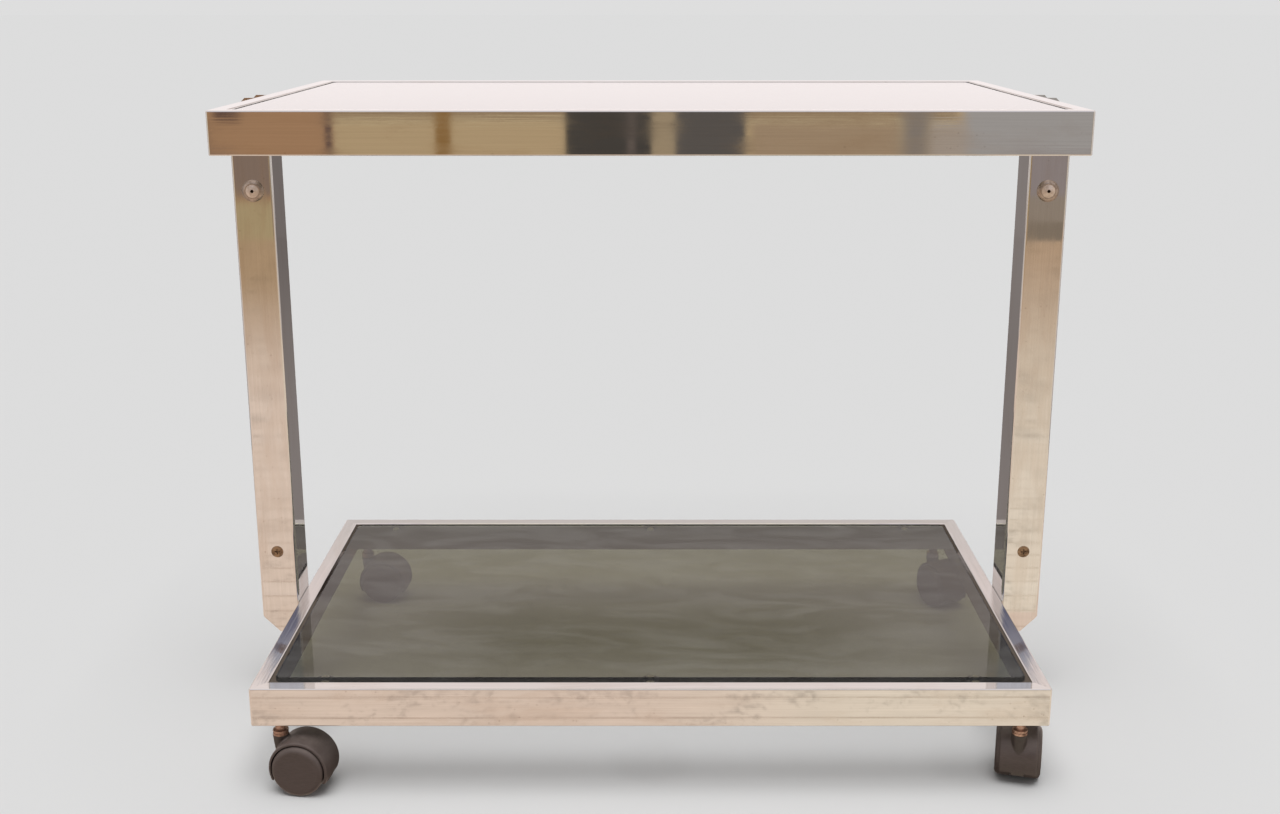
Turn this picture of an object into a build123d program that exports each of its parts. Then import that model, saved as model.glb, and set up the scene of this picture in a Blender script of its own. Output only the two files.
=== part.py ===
from build123d import *
import os

# Bar cart of chromed tube and smoked glass on four hooded twin-wheel casters.
# Millimetres. The origin lies on the floor under the middle of the two frames,
# +X to the right along the long side, +Y to the back, +Z up.

# Frames
FRAME_WIDTH = 750.0            # over the side rails
FRAME_DEPTH = 450.0            # over the front and back rails
FRAME_SPAN = 571.0             # from the shelf frame's underside to the top frame's upper side
FRAME_CORNER_RADIUS = 2.0      # upright outer corners, ground round
RAIL_HEIGHT = 38.0
RAIL_WIDTH = 15.0
RAIL_WALL = 1.5
RAIL_EDGE_RADIUS = 1.2

# Panes
GLASS_THICKNESS = 6.0
GLASS_GAP = 3.0                # between the pane's edge and the rails
SHELF_FRONT_GAP = 11.5         # the shelf's pane is cut short of its front rail
GLASS_DROP = 1.0               # the pane's face lies this far below the rails' tops
GLASS_CORNER = 4.0             # nipped corner
GLASS_ARRIS = 0.6              # ground edge

# Lugs that carry the panes
LUG_WIDTH = 15.0
LUG_TIP_WIDTH = 5.0
LUG_TIP_CROWN = 1.6
LUG_LEAF_HEIGHT = 11.0
LUG_HOLD = 11.0                # of the ledge that lies under the pane
LUG_SHEET = 2.0
LUG_CORNER_RADIUS = 4.0
LUG_INSET = 65.0               # outer lugs, from the end of the rail
PAD_DIAMETER = 9.0
PAD_THICKNESS = 1.5
PAD_TAPER = 0.8

# Legs
LEG_SETBACK = 3.0              # the ends stop short of the frames' faces
LEG_WIDTH = 40.0               # across the cart
LEG_DEPTH = 45.0               # front to back
LEG_WALL = 2.0
LEG_EDGE_RADIUS = 2.6
LEG_CHAMFER = 18.0             # cut-off outer corner at both ends

# Plugs and spigots in the leg ends
PLUG_INSET = 4.0               # below the rim of the tube
PLUG_THICKNESS = 3.0
PLUG_FIT = 0.2
SPIGOT_FIT = 0.25
SPIGOT_WALL = 3.0
SPIGOT_TAIL = 20.0             # length beyond the screw
NECK_WIDTH = 24.0
NECK_HEIGHT = 13.0
NECK_CLEARANCE = 0.5

# Leg screws
SCREW_DISTANCE = 56.2          # from the near edge of the frame
SCREW_DIAMETER = 5.0
SCREW_LENGTH = 16.0
SCREW_FIT = 0.05
SCREW_CLEARANCE = 0.3
HEAD_FIT = 0.1
CUP_DIAMETER = 22.0
CUP_CREST_DIAMETER = 15.0
CUP_HEIGHT = 2.8
CUP_RIM = 0.5
DOME_HEAD_DIAMETER = 13.0
DOME_SEAT = 1.6                # depth of the head's cone in its cup
DOME_RISE = 1.2
SOCKET_ACROSS = 3.2
SOCKET_DEPTH = 1.4
FLAT_HEAD_DIAMETER = 12.6
CROSS_LENGTH = 6.0
CROSS_WIDTH = 1.3
CROSS_DEPTH = 1.4

# Caster wheels
WHEEL_DIAMETER = 50.0
WHEEL_WIDTH = 15.0
WHEEL_EDGE_RADIUS = 5.0
WHEEL_CHAMFER = 0.8
TREAD_THICKNESS = 3.0
DISC_THICKNESS = 2.6
HUB_DIAMETER = 13.0
RIB_COUNT = 6
RIB_THICKNESS = 1.6
RIB_SETBACK = 2.0
AXLE_DIAMETER = 6.0
AXLE_END_GAP = 0.4
RUNNING_FIT = 0.05
PRESS_FIT = 0.02

# Caster hoods
TRAIL = 21.2                   # from the stem's axis to the axle
WEB_WIDTH = 12.0
WHEEL_SIDE_GAP = 0.5           # between web and wheel
WHEEL_TOP_GAP = 1.2            # between tread and hood
HOOD_WALL = 2.4
HOOD_COVER = 11.2              # width of tread under each half of the hood
HOOD_EDGE_RADIUS = 2.0
SKIRT_DROP = 11.0              # the skirt ends this far below the axle
WEB_DROP = 14.5                # the web between the wheels reaches lower
BOSS_DIAMETER = 15.0
BOSS_RIM = 1.0
BOSS_TIP_DIAMETER = 10.0
BOSS_HEIGHT = 23.3
BOSS_BLEND = 1.8               # hollow where the boss grows out of the hood
BOSS_DROP = 0.3                # the boss ends this far below the hood's crown

# Caster stems
STEM_DIAMETER = 10.0
STEM_ROOT_DIAMETER = 8.6       # below the rail, at the bottom of the thread
STEM_INSET = 25.8              # from the end of the rail to the stem's axis
STEM_COLLAR_DIAMETER = 14.4
STEM_COLLAR_HEIGHT = 4.8
COLLAR_GROOVE_DIAMETER = 13.2
COLLAR_GROOVE_WIDTH = 1.4
STEM_GAP = 0.3                 # between collar and boss, pin and socket floor
STEM_CLEARANCE = 0.2
PIN_DIAMETER = 6.0
PIN_LENGTH = 11.0
RING_HEIGHT = 1.2
RING_DIAMETER = 7.8
RING_GROOVE_DIAMETER = 4.8
RING_PLAY = 0.1
RING_OPENING = 60.0            # degrees left open in the spring ring
RING_DEPTH = 4.0               # from the collar down to the ring
BUSH_LENGTH = 22.0
BUSH_HEIGHT = 14.0
BUSH_FIT = 0.1
HOOD_TO_RAIL = 11.0            # clear height between a hood and the rail above it

# Resting turn of each caster about its stem: the wheels trail along +X at 0 degrees.
CASTER_TURNS = {
    "front_left": -8.2,
    "front_right": 75.1,
    "rear_left": -6.0,
    "rear_right": -66.0,
}

# Levels and places that follow from the sizes above
wheel_radius = WHEEL_DIAMETER / 2
hood_bore = wheel_radius + WHEEL_TOP_GAP
hood_radius = hood_bore + HOOD_WALL
hood_width = WEB_WIDTH + 2 * (WHEEL_SIDE_GAP + HOOD_COVER)
boss_top = wheel_radius + hood_radius - BOSS_DROP
underside = wheel_radius + hood_radius + HOOD_TO_RAIL
shelf_top = underside + RAIL_HEIGHT
cart_top = underside + FRAME_SPAN
stem_x = FRAME_WIDTH / 2 - STEM_INSET
stem_y = (FRAME_DEPTH - RAIL_WIDTH) / 2
lug_x = FRAME_WIDTH / 2 - LUG_INSET
glass_bottom_drop = GLASS_DROP + GLASS_THICKNESS
ledge_drop = glass_bottom_drop + PAD_THICKNESS
ring_z = boss_top + STEM_GAP - RING_DEPTH
leg_length = FRAME_SPAN - 2 * LEG_SETBACK
leg_inner_x = LEG_WIDTH / 2 - LEG_WALL
leg_inner_y = LEG_DEPTH / 2 - LEG_WALL
chamfer_x = LEG_WIDTH / 2 - LEG_CHAMFER
neck_level = RAIL_HEIGHT / 2 - LEG_SETBACK
screw_level = RAIL_HEIGHT + SCREW_DISTANCE - LEG_SETBACK
axle_half = WEB_WIDTH / 2 + WHEEL_SIDE_GAP + WHEEL_WIDTH - DISC_THICKNESS - AXLE_END_GAP

STAND = (Align.CENTER, Align.CENTER, Align.MIN)
HANG = (Align.CENTER, Align.CENTER, Align.MAX)


def upright(points):
    """Face in the XZ plane from (x, z) points."""
    return make_face(Plane.XZ * Polyline(*points, close=True))


def turned(*curves):
    """Solid of revolution about Z from curves drawn in the XZ plane."""
    return revolve(make_face(Plane.XZ * Curve(children=list(curves))), Axis.Z)


def mitred(length, low, high, foot, height):
    """Prism along X with mitred ends, between two distances from the frame's outer face at y = 0."""
    plan = Polyline(
        (low - length / 2, low),
        (length / 2 - low, low),
        (length / 2 - high, high),
        (high - length / 2, high),
        close=True,
    )
    return Pos(0, 0, foot) * extrude(make_face(plan), height)


def frame_rails(foot):
    """The four hollow rails of one frame, mitred at its corners, with their feet at the given level."""
    plan = RectangleRounded(FRAME_WIDTH, FRAME_DEPTH, FRAME_CORNER_RADIUS)
    plan -= Rectangle(FRAME_WIDTH - 2 * RAIL_WIDTH, FRAME_DEPTH - 2 * RAIL_WIDTH)
    ring = extrude(plan, RAIL_HEIGHT)
    ring = fillet(ring.faces().filter_by(Plane.XY).edges(), RAIL_EDGE_RADIUS)
    sides = {
        "front": (0, FRAME_WIDTH, FRAME_DEPTH),
        "right": (90, FRAME_DEPTH, FRAME_WIDTH),
        "back": (180, FRAME_WIDTH, FRAME_DEPTH),
        "left": (270, FRAME_DEPTH, FRAME_WIDTH),
    }
    rails = {}
    for side, (turn, length, distance) in sides.items():
        place = Rot(0, 0, turn) * Pos(0, -distance / 2, 0)
        bar = mitred(length, 0, RAIL_WIDTH, 0, RAIL_HEIGHT)
        hollow = mitred(length, RAIL_WALL, RAIL_WIDTH - RAIL_WALL, RAIL_WALL, RAIL_HEIGHT - 2 * RAIL_WALL)
        rails[side] = Pos(0, 0, foot) * (ring & place * (bar - hollow))
    return rails


def pane(front_gap):
    """Glass pane with nipped corners and ground edges, underside at z = 0."""
    width = FRAME_WIDTH - 2 * (RAIL_WIDTH + GLASS_GAP)
    depth = FRAME_DEPTH - 2 * RAIL_WIDTH - GLASS_GAP - front_gap
    sheet = Pos(0, (front_gap - GLASS_GAP) / 2, 0) * Box(width, depth, GLASS_THICKNESS, align=STAND)
    sheet = chamfer(sheet.edges().filter_by(Axis.Z), GLASS_CORNER)
    faces = sheet.faces().sort_by(Axis.Z)
    return chamfer(faces[0].edges() + faces[-1].edges(), GLASS_ARRIS)


def lug(gap):
    """Bent sheet lug: tapered leaf on the rail at y = 0, ledge reaching to +Y past a gap at z = 0."""
    half = LUG_WIDTH / 2
    tip = LUG_TIP_WIDTH / 2
    sides = Polyline(
        (tip, -LUG_LEAF_HEIGHT),
        (half, -LUG_SHEET),
        (half, 0),
        (-half, 0),
        (-half, -LUG_SHEET),
        (-tip, -LUG_LEAF_HEIGHT),
    )
    crown = ThreePointArc(
        (-tip, -LUG_LEAF_HEIGHT),
        (0, -LUG_LEAF_HEIGHT - LUG_TIP_CROWN),
        (tip, -LUG_LEAF_HEIGHT),
    )
    leaf = extrude(make_face(Plane.XZ * Curve(children=[sides, crown])), -LUG_SHEET)
    ledge = Box(LUG_WIDTH, gap + LUG_HOLD, LUG_SHEET, align=(Align.CENTER, Align.MIN, Align.MAX))
    free_corners = ledge.edges().filter_by(Axis.Z).sort_by(Axis.Y)[-2:]
    return leaf + fillet(free_corners, LUG_CORNER_RADIUS)


def pad(gap):
    """Soft round pad that a pane rests on, in the middle of what its lug holds."""
    disc = Cone(PAD_DIAMETER / 2, PAD_DIAMETER / 2 - PAD_TAPER, PAD_THICKNESS, align=STAND)
    return Pos(0, gap + LUG_HOLD / 2, 0) * disc


def along_rails(level, front_gap, make):
    """Three pieces on the front rail and three on the back rail of a frame, turned to face inwards."""
    inner = FRAME_DEPTH / 2 - RAIL_WIDTH
    pieces = []
    for x in (-lug_x, 0, lug_x):
        pieces.append(Pos(x, -inner, level) * make(front_gap))
        pieces.append(Pos(x, inner, level) * Rot(0, 0, 180) * make(GLASS_GAP))
    return pieces


def leg():
    """Right leg: its inner side faces -X, its foot stands at z = 0."""
    inner_radius = max(LEG_EDGE_RADIUS - LEG_WALL, LEG_WALL / 4)
    tube = extrude(RectangleRounded(LEG_WIDTH, LEG_DEPTH, LEG_EDGE_RADIUS), leg_length)
    tube -= extrude(RectangleRounded(2 * leg_inner_x, 2 * leg_inner_y, inner_radius), leg_length)
    corner = upright([(chamfer_x, 0), (LEG_WIDTH / 2, 0), (LEG_WIDTH / 2, LEG_CHAMFER)])
    ends = extrude(corner, LEG_DEPTH, both=True)
    slot = Box(
        2 * LEG_WALL,
        NECK_WIDTH + 2 * NECK_CLEARANCE,
        neck_level + NECK_HEIGHT / 2 + NECK_CLEARANCE,
        align=STAND,
    )
    ends += Pos(-LEG_WIDTH / 2, 0, 0) * slot
    tube -= ends + upper_end(ends)
    tube -= screw_seat(screw_level, countersink(HEAD_FIT) + screw_hole(SCREW_CLEARANCE))
    tube -= screw_seat(leg_length - screw_level, screw_hole(SCREW_CLEARANCE))
    return tube


def upper_end(piece):
    """A piece of the leg's lower end, turned over for its upper end."""
    middle = Plane.XY.offset(leg_length / 2)
    return mirror(piece, about=middle)


def end_plug():
    """Plug set into the lower end of a leg, parallel to the cut-off corner."""
    reach = leg_inner_x - PLUG_FIT
    slope = reach - chamfer_x
    outline = upright([
        (-reach, PLUG_INSET),
        (chamfer_x, PLUG_INSET),
        (reach, PLUG_INSET + slope),
        (reach, PLUG_INSET + slope + PLUG_THICKNESS),
        (chamfer_x, PLUG_INSET + PLUG_THICKNESS),
        (-reach, PLUG_INSET + PLUG_THICKNESS),
    ])
    return extrude(outline, leg_inner_y - PLUG_FIT, both=True)


def spigot():
    """Sleeve in the lower end of a leg, with the neck that joins it to the side rail."""
    reach = leg_inner_x - SPIGOT_FIT
    half_depth = leg_inner_y - SPIGOT_FIT
    foot = PLUG_INSET + PLUG_THICKNESS
    top = screw_level + SPIGOT_TAIL
    outline = upright([
        (-reach, foot),
        (chamfer_x, foot),
        (reach, foot + reach - chamfer_x),
        (reach, top),
        (-reach, top),
    ])
    sleeve = extrude(outline, half_depth, both=True)
    hollow = Box(2 * (reach - SPIGOT_WALL), 2 * (half_depth - SPIGOT_WALL), top, align=STAND)
    neck = Pos(-LEG_WIDTH / 2, 0, neck_level) * Box(
        LEG_WIDTH / 2 - reach + SPIGOT_WALL,
        NECK_WIDTH,
        NECK_HEIGHT,
        align=(Align.MIN, Align.CENTER, Align.CENTER),
    )
    return sleeve - hollow + neck


def screw_seat(level, piece):
    """Turns a piece made along +Z to stand out of the leg's front face at a level."""
    return Pos(0, -LEG_DEPTH / 2, level) * Rot(90, 0, 0) * piece


def screw_hole(clearance):
    """Straight hole for a leg screw's shank."""
    return Cylinder(SCREW_DIAMETER / 2 + clearance, 2 * SCREW_LENGTH)


def countersink(clearance):
    """Cone of a flat screw head, widened by a clearance."""
    rim = FLAT_HEAD_DIAMETER / 2 + clearance
    throat = SCREW_DIAMETER / 2
    return Cone(throat, rim, rim - throat, align=HANG)


def cup():
    """Raised round cup under the head of an upper leg screw."""
    hole = SCREW_DIAMETER / 2 + SCREW_CLEARANCE
    mouth = DOME_HEAD_DIAMETER / 2 + HEAD_FIT
    crest = CUP_CREST_DIAMETER / 2
    rim = CUP_DIAMETER / 2
    edges = Polyline(
        (crest, CUP_HEIGHT),
        (mouth, CUP_HEIGHT),
        (hole, CUP_HEIGHT - DOME_SEAT),
        (hole, 0),
        (rim, 0),
        (rim, CUP_RIM),
    )
    brow = RadiusArc((rim, CUP_RIM), (crest, CUP_HEIGHT), -CUP_DIAMETER / 4)
    return turned(edges, brow)


def dome_screw():
    """Upper leg screw: domed head with a small socket, seated in its cup."""
    shank = SCREW_DIAMETER / 2
    head = DOME_HEAD_DIAMETER / 2
    body = Polyline(
        (0, CUP_HEIGHT + DOME_RISE),
        (0, -SCREW_LENGTH),
        (shank, -SCREW_LENGTH),
        (shank, CUP_HEIGHT - DOME_SEAT),
        (head, CUP_HEIGHT),
    )
    dome_radius = (head**2 + DOME_RISE**2) / (2 * DOME_RISE)
    dome = RadiusArc((head, CUP_HEIGHT), (0, CUP_HEIGHT + DOME_RISE), -dome_radius)
    key = extrude(RegularPolygon(SOCKET_ACROSS / 2, 6, major_radius=False), SOCKET_DEPTH)
    return turned(body, dome) - Pos(0, 0, CUP_HEIGHT + DOME_RISE - SOCKET_DEPTH) * key


def flat_screw():
    """Lower leg screw: countersunk head with a cross recess, flush with the leg."""
    blank = countersink(0) + Cylinder(SCREW_DIAMETER / 2, SCREW_LENGTH, align=HANG)
    slot = Box(CROSS_LENGTH, CROSS_WIDTH, CROSS_DEPTH, align=HANG)
    return blank - slot - Rot(0, 0, 90) * slot


def stem_bush():
    """Threaded block inside a rail, standing on the rail's lower wall."""
    width = RAIL_WIDTH - 2 * (RAIL_WALL + BUSH_FIT)
    block = Box(BUSH_LENGTH, width, BUSH_HEIGHT, align=STAND)
    bore = Cylinder(STEM_DIAMETER / 2 + SCREW_FIT, BUSH_HEIGHT, align=STAND)
    return Pos(0, 0, underside + RAIL_WALL) * (block - bore)


def stem():
    """Caster stem: swivel pin below, grooved collar, and the shank that screws into the rail."""
    pin = PIN_DIAMETER / 2
    groove = RING_GROOVE_DIAMETER / 2
    collar = STEM_COLLAR_DIAMETER / 2
    waist = COLLAR_GROOVE_DIAMETER / 2
    root = STEM_ROOT_DIAMETER / 2
    shank = STEM_DIAMETER / 2
    seat = boss_top + STEM_GAP
    waist_foot = seat + (STEM_COLLAR_HEIGHT - COLLAR_GROOVE_WIDTH) / 2
    top = underside + RAIL_WALL + BUSH_HEIGHT
    return turned(Polyline(
        (0, seat - PIN_LENGTH),
        (pin, seat - PIN_LENGTH),
        (pin, ring_z),
        (groove, ring_z),
        (groove, ring_z + RING_HEIGHT + RING_PLAY),
        (pin, ring_z + RING_HEIGHT + RING_PLAY),
        (pin, seat),
        (collar, seat),
        (collar, waist_foot),
        (waist, waist_foot),
        (waist, waist_foot + COLLAR_GROOVE_WIDTH),
        (collar, waist_foot + COLLAR_GROOVE_WIDTH),
        (collar, seat + STEM_COLLAR_HEIGHT),
        (root, seat + STEM_COLLAR_HEIGHT),
        (root, underside),
        (shank, underside),
        (shank, top),
        (0, top),
        close=True,
    ))


def grip_ring():
    """Open spring ring that keeps the hood on the stem's pin."""
    blank = Cylinder(RING_DIAMETER / 2, RING_HEIGHT, align=STAND)
    bore = Cylinder(RING_GROOVE_DIAMETER / 2 + RING_PLAY / 2, RING_HEIGHT, align=STAND)
    gap = Cylinder(RING_DIAMETER, RING_HEIGHT, arc_size=RING_OPENING, align=(Align.NONE, Align.NONE, Align.MIN))
    return Pos(0, 0, ring_z + RING_PLAY / 2) * (blank - bore - gap)


def across(radius, length):
    """Cylinder along Y about the axle."""
    return Pos(TRAIL, 0, wheel_radius) * Rot(90, 0, 0) * Cylinder(radius, length)


def hood():
    """Moulded hood over both wheels, with the web that holds the axle and the stem's boss."""
    drum = across(hood_radius, hood_width)
    drum = fillet(drum.edges().filter_by(GeomType.CIRCLE), HOOD_EDGE_RADIUS)
    below = Box(4 * hood_radius, hood_width, hood_radius, align=HANG)
    rim = BOSS_DIAMETER / 2
    tip = BOSS_TIP_DIAMETER / 2
    boss = turned(Polyline(
        (0, boss_top - BOSS_HEIGHT),
        (tip, boss_top - BOSS_HEIGHT),
        (rim, boss_top - BOSS_RIM),
        (rim, boss_top),
        (0, boss_top),
        close=True,
    ))
    body = drum - Pos(TRAIL, 0, wheel_radius - WEB_DROP) * below + boss
    root = body.edges().filter_by(GeomType.BSPLINE).sort_by(SortBy.LENGTH)[-1]
    body = fillet(root, BOSS_BLEND)
    for side in (-1, 1):
        offset = side * (WEB_WIDTH + hood_width) / 2
        body -= Pos(TRAIL, offset, wheel_radius - SKIRT_DROP) * below
        body -= Pos(0, offset, 0) * across(hood_bore, hood_width)
    body -= across(AXLE_DIAMETER / 2 + PRESS_FIT, hood_width)
    socket_floor = boss_top - PIN_LENGTH
    body -= Pos(0, 0, socket_floor) * Cylinder(PIN_DIAMETER / 2 + RUNNING_FIT, 2 * PIN_LENGTH, align=STAND)
    groove_foot = ring_z - STEM_GAP
    groove_height = RING_HEIGHT + RING_PLAY + 2 * STEM_GAP
    body -= Pos(0, 0, groove_foot) * Cylinder(RING_DIAMETER / 2 + STEM_GAP, groove_height, align=STAND)
    return body


def wheel():
    """Ribbed moulded wheel about Z: open inner side at z = 0, closed disc outside."""
    radius = wheel_radius
    rim = radius - TREAD_THICKNESS
    hub = HUB_DIAMETER / 2
    bore = AXLE_DIAMETER / 2 + RUNNING_FIT
    floor = WHEEL_WIDTH - DISC_THICKNESS
    shoulder = (radius, WHEEL_WIDTH - WHEEL_EDGE_RADIUS)
    face_edge = (radius - WHEEL_EDGE_RADIUS, WHEEL_WIDTH)
    edges = Polyline(
        face_edge,
        (0, WHEEL_WIDTH),
        (0, floor),
        (bore, floor),
        (bore, 0),
        (hub, 0),
        (hub, floor),
        (rim, floor),
        (rim, 0),
        (radius - WHEEL_CHAMFER, 0),
        (radius, WHEEL_CHAMFER),
        shoulder,
    )
    round_edge = RadiusArc(shoulder, face_edge, -WHEEL_EDGE_RADIUS)
    body = turned(edges, round_edge)
    spoke = Pos((hub + rim) / 2, 0, RIB_SETBACK) * Box(
        rim - hub + RIB_THICKNESS,
        RIB_THICKNESS,
        floor - RIB_SETBACK,
        align=STAND,
    )
    for spot in PolarLocations(0, RIB_COUNT):
        body += spot * spoke
    return body


def caster_pieces():
    """Swivelling pieces of one caster, with the stem's axis on Z and the trail along +X."""
    one_wheel = wheel()
    inner_side = WEB_WIDTH / 2 + WHEEL_SIDE_GAP
    return {
        "hood": hood(),
        "axle": across(AXLE_DIAMETER / 2, 2 * axle_half),
        "wheel_left": Pos(TRAIL, inner_side, wheel_radius) * Rot(-90, 0, 0) * one_wheel,
        "wheel_right": Pos(TRAIL, -inner_side, wheel_radius) * Rot(90, 0, 0) * one_wheel,
    }


def group(pieces):
    """Separate solids kept together as one node."""
    return Compound(children=list(pieces))


def both_sides(piece):
    """A piece of the right side and its mirror image on the left."""
    return [mirror(piece, about=Plane.YZ), piece]


def at_leg(piece):
    """Moves a piece from the leg's own frame to the right side of the cart."""
    return Pos((FRAME_WIDTH + LEG_WIDTH) / 2, 0, underside + LEG_SETBACK) * piece


parts = {}

# Frames with their panes, lugs and pads
frames = {
    "top": (cart_top, GLASS_GAP),
    "shelf": (shelf_top, SHELF_FRONT_GAP),
}
for frame, (frame_top, front_gap) in frames.items():
    for side, solid in frame_rails(frame_top - RAIL_HEIGHT).items():
        parts[f"{frame}_{side}_rail"] = solid
    parts[f"{frame}_glass"] = Pos(0, 0, frame_top - glass_bottom_drop) * pane(front_gap)
    ledge_level = frame_top - ledge_drop
    parts[f"{frame}_glass_lugs"] = group(along_rails(ledge_level, front_gap, lug))
    parts[f"{frame}_glass_pads"] = group(along_rails(ledge_level, front_gap, pad))

# Casters, with the stem holes in the rails above them
casters = caster_pieces()
bushes = []
rings = []
for corner, turn in CASTER_TURNS.items():
    x = stem_x if corner.endswith("right") else -stem_x
    y = stem_y if corner.startswith("rear") else -stem_y
    above = "shelf_back_rail" if corner.startswith("rear") else "shelf_front_rail"
    hole = Cylinder(STEM_DIAMETER / 2 + STEM_CLEARANCE, 2 * RAIL_WALL)
    parts[above] -= Pos(x, y, underside) * hole
    parts[f"{corner}_stem"] = Pos(x, y, 0) * stem()
    bushes.append(Pos(x, y, 0) * stem_bush())
    rings.append(Pos(x, y, 0) * grip_ring())
    for name, solid in casters.items():
        parts[f"{corner}_{name}"] = Pos(x, y, 0) * Rot(0, 0, turn) * solid
parts["stem_bushes"] = group(bushes)
parts["stem_grip_rings"] = group(rings)

# Legs with what is in and on them
parts["left_leg"], parts["right_leg"] = both_sides(at_leg(leg()))
shank = screw_hole(SCREW_FIT)
lower_spigot = spigot() - screw_seat(screw_level, countersink(HEAD_FIT) + shank)
upper_spigot = upper_end(spigot()) - screw_seat(leg_length - screw_level, shank)
for frame, solid in {"shelf": lower_spigot, "top": upper_spigot}.items():
    parts[f"{frame}_left_spigot"], parts[f"{frame}_right_spigot"] = both_sides(at_leg(solid))
leg_groups = {
    "lower_leg_plugs": end_plug(),
    "upper_leg_plugs": upper_end(end_plug()),
    "lower_leg_screws": screw_seat(screw_level, flat_screw()),
    "upper_leg_screws": screw_seat(leg_length - screw_level, dome_screw()),
    "upper_screw_cups": screw_seat(leg_length - screw_level, cup()),
}
for name, solid in leg_groups.items():
    parts[name] = group(both_sides(at_leg(solid)))

os.makedirs("parts", exist_ok=True)
for name, shape in parts.items():
    export_step(shape, f"parts/{name}.step")
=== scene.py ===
import math

import bpy
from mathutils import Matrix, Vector


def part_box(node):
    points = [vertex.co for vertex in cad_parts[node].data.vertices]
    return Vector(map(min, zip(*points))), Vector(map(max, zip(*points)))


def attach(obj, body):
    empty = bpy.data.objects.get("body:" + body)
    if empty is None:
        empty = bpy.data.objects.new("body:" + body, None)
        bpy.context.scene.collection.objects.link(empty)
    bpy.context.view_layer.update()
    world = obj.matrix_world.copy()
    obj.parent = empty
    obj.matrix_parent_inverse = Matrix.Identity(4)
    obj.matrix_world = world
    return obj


bl_info = {
    "name": "Bar Cart",
    "version": (1, 0, 0),
    "blender": (4, 5, 0),
    "location": "View3D > Sidebar > Bar Cart",
    "description": "Plates, glazes and finishes a chromed bar cart and sets it in a plain studio",
    "category": "Object",
}

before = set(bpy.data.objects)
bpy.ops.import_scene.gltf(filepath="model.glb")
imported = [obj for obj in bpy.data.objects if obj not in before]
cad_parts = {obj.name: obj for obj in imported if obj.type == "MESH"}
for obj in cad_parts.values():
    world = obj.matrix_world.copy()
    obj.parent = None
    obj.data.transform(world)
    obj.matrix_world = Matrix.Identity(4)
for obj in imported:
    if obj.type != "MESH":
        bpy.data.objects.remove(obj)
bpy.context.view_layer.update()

MM = 0.001
CORNERS = ("front_left", "front_right", "rear_left", "rear_right")
FRAMES = ("top", "shelf")
ROOT = "cart_frame"

# The photograph's frame, in pixels, and where its optical axis falls in it
PICTURE = (1280, 814)
AXIS_PIXEL = (650.384, 361.84)
FOCAL_PIXELS = 1439.187


def linear(code):
    """Linear red, green and blue of an sRGB hex colour."""
    values = [int(code[i:i + 2], 16) / 255 for i in (0, 2, 4)]
    return tuple(v / 12.92 if v <= 0.04045 else ((v + 0.055) / 1.055) ** 2.4 for v in values)


def add(tree, kind, inputs=None, **settings):
    """Adds a node to a tree, sets its properties, and sets or links its inputs."""
    made = tree.nodes.new(kind)
    for name, value in settings.items():
        setattr(made, name, value)
    for key, value in (inputs or {}).items():
        if isinstance(value, bpy.types.NodeSocket):
            tree.links.new(value, made.inputs[key])
        else:
            made.inputs[key].default_value = value
    return made


def empty_material(name):
    """A material with no nodes yet, and its tree."""
    made = bpy.data.materials.new(name)
    made.use_nodes = True
    made.node_tree.nodes.clear()
    return made, made.node_tree


def dress(names, made):
    """Gives a material to CAD nodes."""
    for name in names:
        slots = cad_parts[name].data.materials
        slots.clear()
        slots.append(made)


class BarCartFinish(bpy.types.PropertyGroup):
    """Colours and finishes of the cart."""

    plate: bpy.props.FloatVectorProperty(
        name="Plate", description="Clean chromium plate", subtype="COLOR",
        default=linear("DDDCDB"), min=0, max=1)
    tarnish: bpy.props.FloatVectorProperty(
        name="Tarnish", description="Dull film on old plate", subtype="COLOR",
        default=linear("C4B4A6"), min=0, max=1)
    pit: bpy.props.FloatVectorProperty(
        name="Pits", description="Rust freckles that come through the plate", subtype="COLOR",
        default=linear("6B5546"), min=0, max=1)
    smoke: bpy.props.FloatVectorProperty(
        name="Smoke", description="Body colour of the smoked glass", subtype="COLOR",
        default=linear("A29F63"), min=0, max=1)
    smoke_density: bpy.props.FloatProperty(
        name="Smoke density", description="Absorption of the smoked glass per metre",
        default=360.0, min=0)
    nylon: bpy.props.FloatVectorProperty(
        name="Nylon", description="Brown of the caster mouldings", subtype="COLOR",
        default=linear("483C3A"), min=0, max=1)
    # Dust on the casters, laid on what faces up; it also serves as painted light from above.
    dust_and_top_light: bpy.props.FloatVectorProperty(
        name="Dust", description="Dust that lies on the casters", subtype="COLOR",
        default=linear("8A7E77"), min=0, max=1)
    copper: bpy.props.FloatVectorProperty(
        name="Copper flash", description="Copper that shows on the stems", subtype="COLOR",
        default=linear("C2A392"), min=0, max=1)
    screw: bpy.props.FloatVectorProperty(
        name="Dulled screw", description="Brown of the lower leg screws", subtype="COLOR",
        default=linear("A08870"), min=0, max=1)


class BarCartThread(bpy.types.PropertyGroup):
    """Thread on the bare part of the caster stems."""

    pitch: bpy.props.FloatProperty(
        name="Pitch", description="Distance from crest to crest", subtype="DISTANCE", unit="LENGTH",
        default=1.5 * MM, min=0.2 * MM)
    crest: bpy.props.FloatProperty(
        name="Crest diameter", description="Outer diameter of the thread", subtype="DISTANCE", unit="LENGTH",
        default=10.0 * MM, min=1.0 * MM)
    turns: bpy.props.IntProperty(
        name="Turns", description="Turns of thread that show below the rail", default=3, min=1)


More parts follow.
